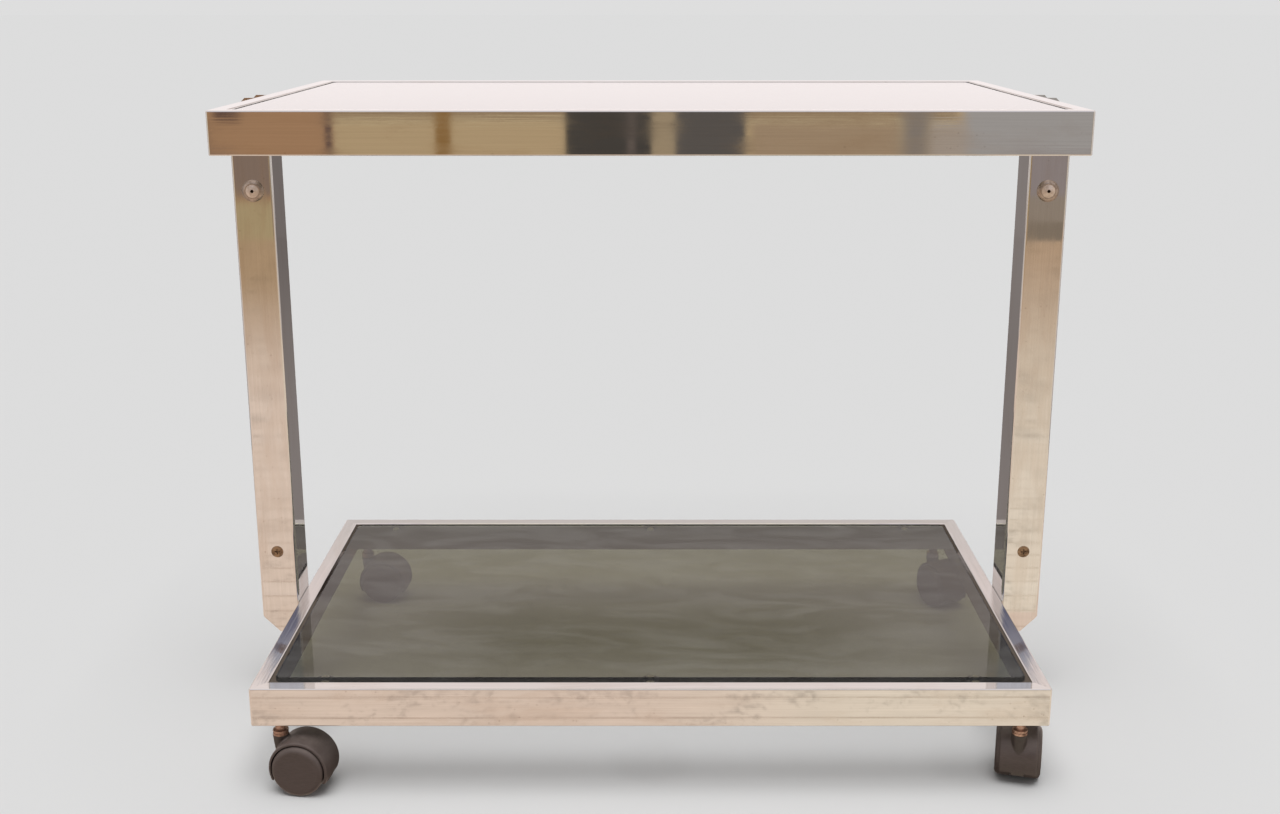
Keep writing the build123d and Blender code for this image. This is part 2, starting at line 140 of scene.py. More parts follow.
class BarCartStage(bpy.types.PropertyGroup):
    """Camera, floor and light."""

    distance: bpy.props.FloatProperty(
        name="Distance", description="From the cart's middle to the camera", subtype="DISTANCE", unit="LENGTH",
        default=1.4502, min=0.1)
    height: bpy.props.FloatProperty(
        name="Height", description="Of the camera above the floor", subtype="DISTANCE", unit="LENGTH",
        default=0.7284, min=0)
    tilt: bpy.props.FloatProperty(
        name="Tilt", description="Of the camera below the horizon", subtype="ANGLE", unit="ROTATION",
        default=math.radians(14.235))
    floor: bpy.props.FloatVectorProperty(
        name="Floor", description="Matt floor", subtype="COLOR",
        default=linear("DEDEDE"), min=0, max=1)
    bounce: bpy.props.FloatVectorProperty(
        name="Bounce", description="Floor colour in the light that it throws back up", subtype="COLOR",
        default=linear("989089"), min=0, max=1)
    ambient: bpy.props.FloatProperty(
        name="Ambient", description="Strength of the even light", default=0.3, min=0)
    key: bpy.props.FloatProperty(
        name="Key", description="Strength of the soft light overhead", default=0.7 * math.pi, min=0)
    spread: bpy.props.FloatProperty(
        name="Spread", description="Angle over which the overhead light spreads", subtype="ANGLE", unit="ROTATION",
        default=math.radians(45))
    lean: bpy.props.FloatProperty(
        name="Lean", description="How far the overhead light stands towards the front", subtype="ANGLE",
        unit="ROTATION", default=math.radians(11))
    pane_shadow: bpy.props.FloatProperty(
        name="Pane shadow", description="Share of the overhead light that the panes keep off the floor",
        subtype="FACTOR", default=0.24, min=0, max=1)
    depth_shadow: bpy.props.FloatProperty(
        name="Depth shadow", description="The same share under the back half of the cart", subtype="FACTOR",
        default=0.5, min=0, max=1)
    front_shadow: bpy.props.FloatProperty(
        name="Front shadow", description="Share that is added to the pane shadow along the front edge",
        subtype="FACTOR", default=0.2, min=0, max=1)


# Chromium plate on steel: a clear mirror that takes the colour of the room, drawn out a little along
# the polishing direction, with a warm dull film in patches and a few rust freckles.
def chromed_steel(name, grain, relief=0.02):
    """Plate on steel, polished along the axis that grain names: x, y, z or none. Relief is its bump in mm."""
    finish = bpy.context.scene.bar_cart_finish
    made, tree = empty_material(name)
    fine, long = 1 / (1.1 * MM), 1 / (110 * MM)
    stretch = [long if axis == grain else fine for axis in "xyz"]
    place = add(tree, "ShaderNodeTexCoord").outputs["Object"]
    drawn = add(tree, "ShaderNodeMapping", {"Vector": place, "Scale": stretch})
    streaks = add(tree, "ShaderNodeTexNoise",
                  {"Vector": drawn.outputs[0], "Scale": 1.0, "Detail": 2.0, "Roughness": 0.6})
    pulled = [1 / (90 * MM) if axis == grain else 1 / (22 * MM) for axis in "xyz"]
    spread = add(tree, "ShaderNodeMapping", {"Vector": place, "Scale": pulled})
    film = add(tree, "ShaderNodeTexNoise",
               {"Vector": spread.outputs[0], "Scale": 1.0, "Detail": 6.0, "Roughness": 0.6, "Distortion": 0.5})
    patches = add(tree, "ShaderNodeMapRange",
                  {"Value": film.outputs[0], "From Min": 0.48, "From Max": 0.72, "To Min": 0.0, "To Max": 0.25})
    cells = add(tree, "ShaderNodeTexVoronoi",
                {"Vector": place, "Scale": 1 / (7 * MM), "Randomness": 1.0})
    freckles = add(tree, "ShaderNodeMapRange",
                   {"Value": cells.outputs["Distance"], "From Min": 0.06, "From Max": 0.16,
                    "To Min": 1.6, "To Max": 0.0})
    pitted = add(tree, "ShaderNodeMath", {0: freckles.outputs[0], 1: patches.outputs[0]}, operation="MULTIPLY")
    rubbed = add(tree, "ShaderNodeMapRange",
                 {"Value": streaks.outputs[0], "From Min": 0.3, "From Max": 0.7, "To Min": 0.96, "To Max": 1.02})
    wiped = add(tree, "ShaderNodeVectorMath",
                {0: tuple(finish.plate), "Scale": rubbed.outputs[0]}, operation="SCALE")
    filmed = add(tree, "ShaderNodeMix",
                 {0: patches.outputs[0], 6: wiped.outputs[0], 7: (*finish.tarnish, 1)}, data_type="RGBA")
    colour = add(tree, "ShaderNodeMix",
                 {0: pitted.outputs[0], 6: filmed.outputs[2], 7: (*finish.pit, 1)}, data_type="RGBA")
    dull = add(tree, "ShaderNodeMapRange",
               {"Value": film.outputs[0], "From Min": 0.3, "From Max": 0.75, "To Min": 0.015, "To Max": 0.085})
    waves = add(tree, "ShaderNodeBump",
                {"Height": streaks.outputs[0], "Strength": 0.25, "Distance": relief * MM})
    shader = add(tree, "ShaderNodeBsdfPrincipled",
                 {"Base Color": colour.outputs[2], "Metallic": 1.0, "Roughness": dull.outputs[0],
                  "Normal": waves.outputs[0]})
    add(tree, "ShaderNodeOutputMaterial", {"Surface": shader.outputs[0]})
    return made


# Smoked float glass, polished: a brown-grey sheet that darkens with its thickness, so that its edges look
# nearly black unless they are ground matt, with faint wiping marks on its faces.
def smoked_glass(name, wax, edge):
    """Smoked glass, with a share of its face under wax polish and a share of clear glass in its edges."""
    finish = bpy.context.scene.bar_cart_finish
    made, tree = empty_material(name)
    place = add(tree, "ShaderNodeTexCoord").outputs["Object"]
    length, width = 1 / (111.1 * MM), 1 / (38.46 * MM)
    wiped = add(tree, "ShaderNodeMapping",
                {"Vector": place, "Scale": (length, width, width), "Rotation": (0, 0, 0.5)})
    smears = add(tree, "ShaderNodeTexNoise",
                 {"Vector": wiped.outputs[0], "Scale": 1.0, "Detail": 5.0, "Roughness": 0.65, "Distortion": 1.2})
    dull = add(tree, "ShaderNodeMapRange",
               {"Value": smears.outputs[0], "From Min": 0.5, "From Max": 0.8, "To Min": 0.0, "To Max": 0.06})
    film = add(tree, "ShaderNodeMapRange",
               {"Value": smears.outputs[0], "From Min": 0.42, "From Max": 0.75, "To Min": 1.0, "To Max": 0.94})
    facing = add(tree, "ShaderNodeSeparateXYZ", {0: add(tree, "ShaderNodeNewGeometry").outputs["Normal"]})
    level = add(tree, "ShaderNodeMath", {0: facing.outputs[2]}, operation="ABSOLUTE")
    ground = add(tree, "ShaderNodeMapRange",
                 {"Value": level.outputs[0], "From Min": 0.4, "From Max": 0.7, "To Min": edge, "To Max": 1.0})
    clear = add(tree, "ShaderNodeMath", {0: film.outputs[0], 1: ground.outputs[0]}, operation="MULTIPLY")
    shader = add(tree, "ShaderNodeBsdfPrincipled",
                 {"Base Color": (*linear("FBFBFA"), 1), "Roughness": dull.outputs[0], "IOR": 1.52,
                  "Transmission Weight": clear.outputs[0], "Coat Weight": wax, "Coat Roughness": 0.03})
    body = add(tree, "ShaderNodeVolumeAbsorption",
               {"Color": (*finish.smoke, 1), "Density": finish.smoke_density})
    add(tree, "ShaderNodeOutputMaterial", {"Surface": shader.outputs[0], "Volume": body.outputs[0]})
    return made


# Brown nylon, injection moulded: satin skin with a fine grain, scuffs, dust on what faces up that also serves as
# painted light from above, and painted shade on the boss that holds the stem.
def moulded_nylon():
    """Nylon of the hoods and wheels. The stems stand at mirrored places, so one of them serves for all."""
    finish = bpy.context.scene.bar_cart_finish
    made, tree = empty_material("Brown nylon, injection moulded")
    place = add(tree, "ShaderNodeTexCoord").outputs["Object"]
    cloud = add(tree, "ShaderNodeTexNoise",
                {"Vector": place, "Scale": 1 / (14 * MM), "Detail": 5.0, "Roughness": 0.6})
    grain = add(tree, "ShaderNodeTexNoise",
                {"Vector": place, "Scale": 1 / (0.5 * MM), "Detail": 2.0, "Roughness": 0.5})
    length, width = 1 / (5.556 * MM), 1 / (0.909 * MM)
    scuffed = add(tree, "ShaderNodeMapping",
                  {"Vector": place, "Scale": (length, length, width), "Rotation": (0.3, 0.2, 0)})
    scuffs = add(tree, "ShaderNodeTexNoise",
                 {"Vector": scuffed.outputs[0], "Scale": 1.0, "Detail": 3.0, "Roughness": 0.7})
    facing = add(tree, "ShaderNodeSeparateXYZ", {0: add(tree, "ShaderNodeNewGeometry").outputs["Normal"]})
    # Lighter the more a face points up: dust, and also painted light from above.
    upward = add(tree, "ShaderNodeMapRange",
                 {"Value": facing.outputs[2], "From Min": -0.2, "From Max": 1.0, "To Min": 0.0, "To Max": 0.85})
    dust_and_top_light_share = add(tree, "ShaderNodeMath", {0: upward.outputs[0], 1: cloud.outputs[0]}, operation="MULTIPLY")
    shade = add(tree, "ShaderNodeMapRange",
                {"Value": scuffs.outputs[0], "From Min": 0.3, "From Max": 0.75, "To Min": 0.75, "To Max": 1.25})
    body = add(tree, "ShaderNodeVectorMath",
               {0: tuple(finish.nylon), "Scale": shade.outputs[0]}, operation="SCALE")
    colour = add(tree, "ShaderNodeMix",
                 {0: dust_and_top_light_share.outputs[0], 6: body.outputs[0], 7: (*finish.dust_and_top_light, 1)}, data_type="RGBA")
    low, high = (Vector(p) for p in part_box("rear_right_stem"))
    stem = ((low.x + high.x) / 2, (low.y + high.y) / 2, 0)
    boss_tip, boss_rim = 30 * MM, 53.3 * MM
    tip_radius, rim_radius = 5.3 * MM, 7.8 * MM
    mirrored = add(tree, "ShaderNodeVectorMath", {0: place}, operation="ABSOLUTE")
    aside = add(tree, "ShaderNodeVectorMath", {0: mirrored.outputs[0], 1: stem}, operation="SUBTRACT")
    flat = add(tree, "ShaderNodeVectorMath", {0: aside.outputs[0], 1: (1, 1, 0)}, operation="MULTIPLY")
    radius = add(tree, "ShaderNodeVectorMath", {0: flat.outputs[0]}, operation="LENGTH")
    level = add(tree, "ShaderNodeSeparateXYZ", {0: place})
    skin = add(tree, "ShaderNodeMapRange",
               {"Value": level.outputs[2], "From Min": boss_tip, "From Max": boss_rim,
                "To Min": tip_radius, "To Max": rim_radius})
    beyond = add(tree, "ShaderNodeMath", {0: radius.outputs["Value"], 1: skin.outputs[0]}, operation="SUBTRACT")
    # Painted shade: the boss below the stem is painted dark within its taper.
    boss_painted_shade = add(tree, "ShaderNodeMapRange",
                 {"Value": beyond.outputs[0], "From Min": -0.2 * MM, "From Max": 0.6 * MM,
                  "To Min": 0.4, "To Max": 0.0})
    colour = add(tree, "ShaderNodeMix",
                 {0: boss_painted_shade.outputs[0], 6: colour.outputs[2], 7: (*linear("2B271F"), 1)}, data_type="RGBA")
    dull = add(tree, "ShaderNodeMapRange",
               {"Value": cloud.outputs[0], "From Min": 0.3, "From Max": 0.7, "To Min": 0.38, "To Max": 0.58})
    relief = add(tree, "ShaderNodeBump",
                 {"Height": grain.outputs[0], "Strength": 0.2, "Distance": 0.1 * MM})
    shader = add(tree, "ShaderNodeBsdfPrincipled",
                 {"Base Color": colour.outputs[2], "Roughness": dull.outputs[0], "IOR": 1.53,
                  "Normal": relief.outputs[0]})
    add(tree, "ShaderNodeOutputMaterial", {"Surface": shader.outputs[0]})
    return made


# Steel with a thin worn coat: bright metal under a patchy film, with painted shade where a recess lies.
def worn_steel(name, bright, film_code, roughness, shade_from=None):
    """Steel of one colour with a film of another, and painted shade behind a level on y, where a recess lies."""
    made, tree = empty_material(name)
    place = add(tree, "ShaderNodeTexCoord").outputs["Object"]
    cloud = add(tree, "ShaderNodeTexNoise",
                {"Vector": place, "Scale": 1 / (5 * MM), "Detail": 6.0, "Roughness": 0.65})
    film = add(tree, "ShaderNodeMapRange",
               {"Value": cloud.outputs[0], "From Min": 0.4, "From Max": 0.65, "To Min": 0.0, "To Max": 0.8})
    colour = add(tree, "ShaderNodeMix",
                 {0: film.outputs[0], 6: (*bright, 1), 7: (*linear(film_code), 1)}, data_type="RGBA")
    if shade_from is not None:
        depth = add(tree, "ShaderNodeSeparateXYZ", {0: place})
        # Painted shade: what lies behind the level on y is painted nearly black.
        recess_shade = add(tree, "ShaderNodeMapRange",
                   {"Value": depth.outputs[1], "From Min": shade_from, "From Max": shade_from + 0.1 * MM})
        colour = add(tree, "ShaderNodeMix",
                     {0: recess_shade.outputs[0], 6: colour.outputs[2], 7: (*linear("2A211C"), 1)}, data_type="RGBA")
    dull = add(tree, "ShaderNodeMapRange",
               {"Value": film.outputs[0], "To Min": roughness, "To Max": roughness + 0.25})
    relief = add(tree, "ShaderNodeBump",
                 {"Height": cloud.outputs[0], "Strength": 0.2, "Distance": 0.05 * MM})
    shader = add(tree, "ShaderNodeBsdfPrincipled",
                 {"Base Color": colour.outputs[2], "Metallic": 1.0, "Roughness": dull.outputs[0],
                  "Normal": relief.outputs[0]})
    add(tree, "ShaderNodeOutputMaterial", {"Surface": shader.outputs[0]})
    return made


# Soft or hard plastic in one colour, moulded: fine grain and a slow change of gloss.
def plain_plastic(name, code, roughness, clear):
    """Moulded plastic, with a share of light let through."""
    made, tree = empty_material(name)
    place = add(tree, "ShaderNodeTexCoord").outputs["Object"]
    cloud = add(tree, "ShaderNodeTexNoise",
                {"Vector": place, "Scale": 1 / (6 * MM), "Detail": 4.0, "Roughness": 0.6})
    shade = add(tree, "ShaderNodeMapRange", {"Value": cloud.outputs[0], "To Min": 0.7, "To Max": 1.3})
    colour = add(tree, "ShaderNodeVectorMath", {0: linear(code), "Scale": shade.outputs[0]}, operation="SCALE")
    dull = add(tree, "ShaderNodeMapRange",
               {"Value": cloud.outputs[0], "To Min": roughness - 0.1, "To Max": roughness + 0.1})
    shader = add(tree, "ShaderNodeBsdfPrincipled",
                 {"Base Color": colour.outputs[0], "Roughness": dull.outputs[0], "IOR": 1.5,
                  "Transmission Weight": clear})
    add(tree, "ShaderNodeOutputMaterial", {"Surface": shader.outputs[0]})
    return made


class BARCART_OT_frames(bpy.types.Operator):
    """Plates the eight rails"""

    bl_idname = "barcart.frames"
    bl_label = "Plate the frames"

    def execute(self, context):
        along_x = chromed_steel("Chromed steel tube, polished lengthwise on long rails", "x")
        along_y = chromed_steel("Chromed steel tube, polished lengthwise on side rails", "y", relief=0.6)
        for level in FRAMES:
            dress([f"{level}_front_rail", f"{level}_back_rail"], along_x)
            dress([f"{level}_left_rail", f"{level}_right_rail"], along_y)
        return {"FINISHED"}


class BARCART_OT_legs(bpy.types.Operator):
    """Plates the two legs"""

    bl_idname = "barcart.legs"
    bl_label = "Plate the legs"

    def execute(self, context):
        dress(["left_leg", "right_leg"], chromed_steel("Chromed steel tube, polished lengthwise on legs", "z"))
        return {"FINISHED"}


class BARCART_OT_panes(bpy.types.Operator):
    """Glazes the top and the shelf"""

    bl_idname = "barcart.panes"
    bl_label = "Glaze the panes"

    def execute(self, context):
        dress(["top_glass"], smoked_glass("Smoked float glass, waxed", wax=0.9, edge=0.3))
        dress(["shelf_glass"], smoked_glass("Smoked float glass, polished", wax=0.0, edge=0.92))
        for level in FRAMES:
            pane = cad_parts[f"{level}_glass"]
            pane.visible_diffuse = pane.visible_shadow = False
        return {"FINISHED"}


class BARCART_OT_lugs(bpy.types.Operator):
    """Finishes the lugs and pads that carry the panes"""

    bl_idname = "barcart.lugs"
    bl_label = "Finish the lugs"

    def execute(self, context):
        dress([f"{level}_glass_lugs" for level in FRAMES], chromed_steel("Chromed steel sheet, pressed", "none"))
        dress([f"{level}_glass_pads" for level in FRAMES],
              plain_plastic("Clear soft vinyl, moulded", "D8D2C4", 0.35, 0.6))
        return {"FINISHED"}


class BARCART_OT_leg_screws(bpy.types.Operator):
    """Finishes the leg screws and the cups under the upper heads"""

    bl_idname = "barcart.leg_screws"
    bl_label = "Finish the leg screws"

    def execute(self, context):
        finish = context.scene.bar_cart_finish
        dress(["upper_screw_cups"], worn_steel("Nickelled steel, turned", linear("B0A296"), "8A7B6E", 0.34))
        head_rise = 2.75 * MM
        socket_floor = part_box("left_leg")[0][1] - head_rise
        # Painted shade: the head is painted nearly black behind the level of its socket floor.
        dress(["upper_leg_screws"],
              worn_steel("Nickelled steel, headed", linear("D8CCC1"), "B9AA9C", 0.44, shade_from=socket_floor))
        dress(["lower_leg_screws"], worn_steel("Steel screw, dulled plate", finish.screw, "55463A", 0.4))
        return {"FINISHED"}


class BARCART_OT_leg_inserts(bpy.types.Operator):
    """Finishes the spigots and plugs in the leg ends"""

    bl_idname = "barcart.leg_inserts"
    bl_label = "Finish the leg inserts"

    def execute(self, context):
        steel = worn_steel("Mild steel, cold drawn", linear("A8A5A2"), "6E6259", 0.3)
        dress([f"{level}_{side}_spigot" for level in FRAMES for side in ("left", "right")], steel)
        dress(["lower_leg_plugs", "upper_leg_plugs"], plain_plastic("Black polythene, moulded", "2A2827", 0.5, 0.0))
        return {"FINISHED"}


class BARCART_OT_stems(bpy.types.Operator):
    """Finishes the caster stems with their bushes and rings"""

    bl_idname = "barcart.stems"
    bl_label = "Finish the stems"

    def execute(self, context):
        finish = context.scene.bar_cart_finish
        copper = worn_steel("Copper-flashed steel, tarnished", finish.copper, "6B564C", 0.38)
        dress([f"{corner}_stem" for corner in CORNERS], copper)
        self.cut_threads(context.scene.bar_cart_thread, copper)
        steel = worn_steel("Spring steel, oiled", linear("8C8884"), "4C4540", 0.3)
        dress(["stem_bushes", "stem_grip_rings"], steel)
        return {"FINISHED"}

    def cut_threads(self, settings, copper):
        """Winds a three-cornered ridge round the bare part of each stem, up to the rail."""
        corner_radius = settings.pitch / math.sqrt(3)
        bpy.ops.object.select_all(action="DESELECT")
        bpy.ops.mesh.primitive_circle_add(
            vertices=3, radius=corner_radius, rotation=(math.pi / 2, math.pi / 2, 0))
        bpy.ops.object.transform_apply()
        ridge = bpy.context.object
        bpy.ops.object.mode_set(mode="EDIT")
        bpy.ops.mesh.select_all(action="SELECT")
        bpy.ops.transform.translate(value=(settings.crest / 2 - corner_radius, 0, 0))
        bpy.ops.object.mode_set(mode="OBJECT")
        winding = ridge.modifiers.new("Winding", "SCREW")
        winding.screw_offset = settings.pitch
        winding.iterations = settings.turns
        winding.steps = winding.render_steps = 48
        bpy.ops.object.modifier_apply(modifier=winding.name)
        bpy.ops.object.mode_set(mode="EDIT")
        bpy.ops.mesh.select_all(action="SELECT")
        bpy.ops.mesh.fill_holes(sides=3)
        bpy.ops.mesh.normals_make_consistent(inside=False)
        bpy.ops.object.mode_set(mode="OBJECT")
        ridge.data.materials.append(copper)
        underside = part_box("shelf_front_rail")[0][2]
        start = underside - settings.pitch * (settings.turns + 0.5)
        for corner in CORNERS:
            low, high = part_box(f"{corner}_stem")
            bpy.ops.object.select_all(action="DESELECT")
            ridge.select_set(True)
            bpy.context.view_layer.objects.active = ridge
            bpy.ops.object.duplicate()
            thread = bpy.context.object
            thread.name = f"{corner}_thread"
            thread.location = ((low[0] + high[0]) / 2, (low[1] + high[1]) / 2, start)
            bpy.ops.object.transform_apply()
            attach(thread, ROOT)
        bpy.data.objects.remove(ridge)


class BARCART_OT_casters(bpy.types.Operator):
    """Finishes hoods, wheels and axles"""

    bl_idname = "barcart.casters"
    bl_label = "Finish the casters"

    def execute(self, context):
        nylon = moulded_nylon()
        steel = worn_steel("Axle steel, drawn", linear("A09C98"), "6A625B", 0.3)
        for corner in CORNERS:
            dress([f"{corner}_hood", f"{corner}_wheel_left", f"{corner}_wheel_right"], nylon)
            dress([f"{corner}_axle"], steel)
        return {"FINISHED"}


def lay_boards(tree, spot, colour):
    """Narrow floor boards with their joints along x, grained and knotted, in the tone of a colour."""
    board_length, board_width, joint = 9.0, 45 * MM, 1.2 * MM
    grain_length, grain_width = 1 / (71.43 * MM), 1 / (14.286 * MM)
    fleck_size, cloud_size = 1 / (10.526 * MM), 1 / (76.92 * MM)
    moved = add(tree, "ShaderNodeMapping", {"Vector": spot, "Location": (2, 0, 0)})
    laid = add(tree, "ShaderNodeTexBrick",
               {"Vector": moved.outputs[0], "Color1": (1, 1, 1, 1), "Color2": (*linear("F9F7F5"), 1),
                "Mortar": (*linear("CEC7C0"), 1), "Scale": 1.0, "Mortar Size": joint,
                "Brick Width": board_length, "Row Height": board_width})
    veins = add(tree, "ShaderNodeMapping", {"Vector": spot, "Scale": (grain_length, grain_width, 1)})
    grain = add(tree, "ShaderNodeTexNoise",
                {"Vector": veins.outputs[0], "Scale": 1.0, "Detail": 4.0, "Roughness": 0.6})
    tone = add(tree, "ShaderNodeMapRange",
               {"Value": grain.outputs[0], "From Min": 0.3, "From Max": 0.7, "To Min": 0.94, "To Max": 1.05})
    fleck = add(tree, "ShaderNodeTexNoise",
                {"Vector": spot, "Scale": fleck_size, "Detail": 3.0, "Roughness": 0.6, "Distortion": 0.6})
    cloud = add(tree, "ShaderNodeTexNoise", {"Vector": spot, "Scale": cloud_size, "Detail": 2.0})
    both = add(tree, "ShaderNodeMath", {0: fleck.outputs[0], 1: cloud.outputs[0]}, operation="ADD")
    knots = add(tree, "ShaderNodeMapRange",
                {"Value": both.outputs[0], "From Min": 1.05, "From Max": 1.25, "To Min": 1.0, "To Max": 0.74})
    marked = add(tree, "ShaderNodeMath", {0: tone.outputs[0], 1: knots.outputs[0]}, operation="MULTIPLY")
    board = add(tree, "ShaderNodeVectorMath", {0: laid.outputs[0], "Scale": marked.outputs[0]}, operation="SCALE")
    worn = add(tree, "ShaderNodeVectorMath", {0: colour, 1: board.outputs[0]}, operation="MULTIPLY")
    return worn.outputs[0]


def card(name, low, high, near, far=None, soft=0.0, boards=False):
    """A flat card between two corners that only mirror reflections see.

    Its colour runs from near to far, forwards on a floor and upwards on a wall. Its two side edges
    fade out over the width soft, and boards lays floor boards on it.
    """
    low, high = Vector(low), Vector(high)
    bpy.ops.object.select_all(action="DESELECT")
    bpy.ops.mesh.primitive_plane_add(size=1)
    made = bpy.context.object
    made.name = name
    size = high - low
    upright = size.z > 0
    if upright:
        bpy.ops.transform.rotate(
            value=math.pi / 2, orient_axis="X" if size.x > size.y else "Y", center_override=(0, 0, 0))
        bpy.ops.object.transform_apply(location=False)
    made.scale = [max(s, 1e-6) for s in size]
    made.location = (low + high) / 2
    bpy.ops.object.transform_apply()
    for seen_by in ("camera", "diffuse", "transmission", "shadow", "volume_scatter"):
        setattr(made, f"visible_{seen_by}", False)
    paint, tree = empty_material(f"{name} paint")
    spot = add(tree, "ShaderNodeTexCoord").outputs["Object"]
    place = add(tree, "ShaderNodeSeparateXYZ", {0: spot})
    colour = linear(near)
    if far:
        share = add(tree, "ShaderNodeMapRange",
                    {"Value": place.outputs[2 if upright else 1], "From Min": low.z if upright else high.y,
                     "From Max": high.z if upright else low.y}, interpolation_type="SMOOTHSTEP")
        mix = add(tree, "ShaderNodeMix",
                  {0: share.outputs[0], 6: (*colour, 1), 7: (*linear(far), 1)}, data_type="RGBA")
        colour = mix.outputs[2]
    if boards:
        colour = lay_boards(tree, spot, colour)
    surface = add(tree, "ShaderNodeEmission", {"Color": colour if far or boards else (*colour, 1)})
    if soft:
        across = 0 if size.x > 0 else 1
        middle = (low[across] + high[across]) / 2
        centre = add(tree, "ShaderNodeMath", {0: place.outputs[across], 1: middle}, operation="SUBTRACT")
        aside = add(tree, "ShaderNodeMath", {0: centre.outputs[0]}, operation="ABSOLUTE")
        cover = add(tree, "ShaderNodeMapRange",
                    {"Value": aside.outputs[0], "From Min": size[across] / 2 - soft, "From Max": size[across] / 2,
                     "To Min": 1.0, "To Max": 0.0}, interpolation_type="SMOOTHSTEP")
        clear = add(tree, "ShaderNodeBsdfTransparent")
        surface = add(tree, "ShaderNodeMixShader", {0: cover.outputs[0], 1: clear.outputs[0], 2: surface.outputs[0]})
    add(tree, "ShaderNodeOutputMaterial", {"Surface": surface.outputs[0]})
    made.data.materials.append(paint)


def straight_ray(tree):
    """1 for what the camera sees itself, through glass or in a mirror, and 0 for light on its way."""
    path = add(tree, "ShaderNodeLightPath")
    clear = add(tree, "ShaderNodeMath",
                {0: path.outputs["Is Camera Ray"], 1: path.outputs["Is Transmission Ray"]}, operation="MAXIMUM")
    either = add(tree, "ShaderNodeMath",
                 {0: clear.outputs[0], 1: path.outputs["Is Glossy Ray"]}, operation="MAXIMUM")
    return either.outputs[0]


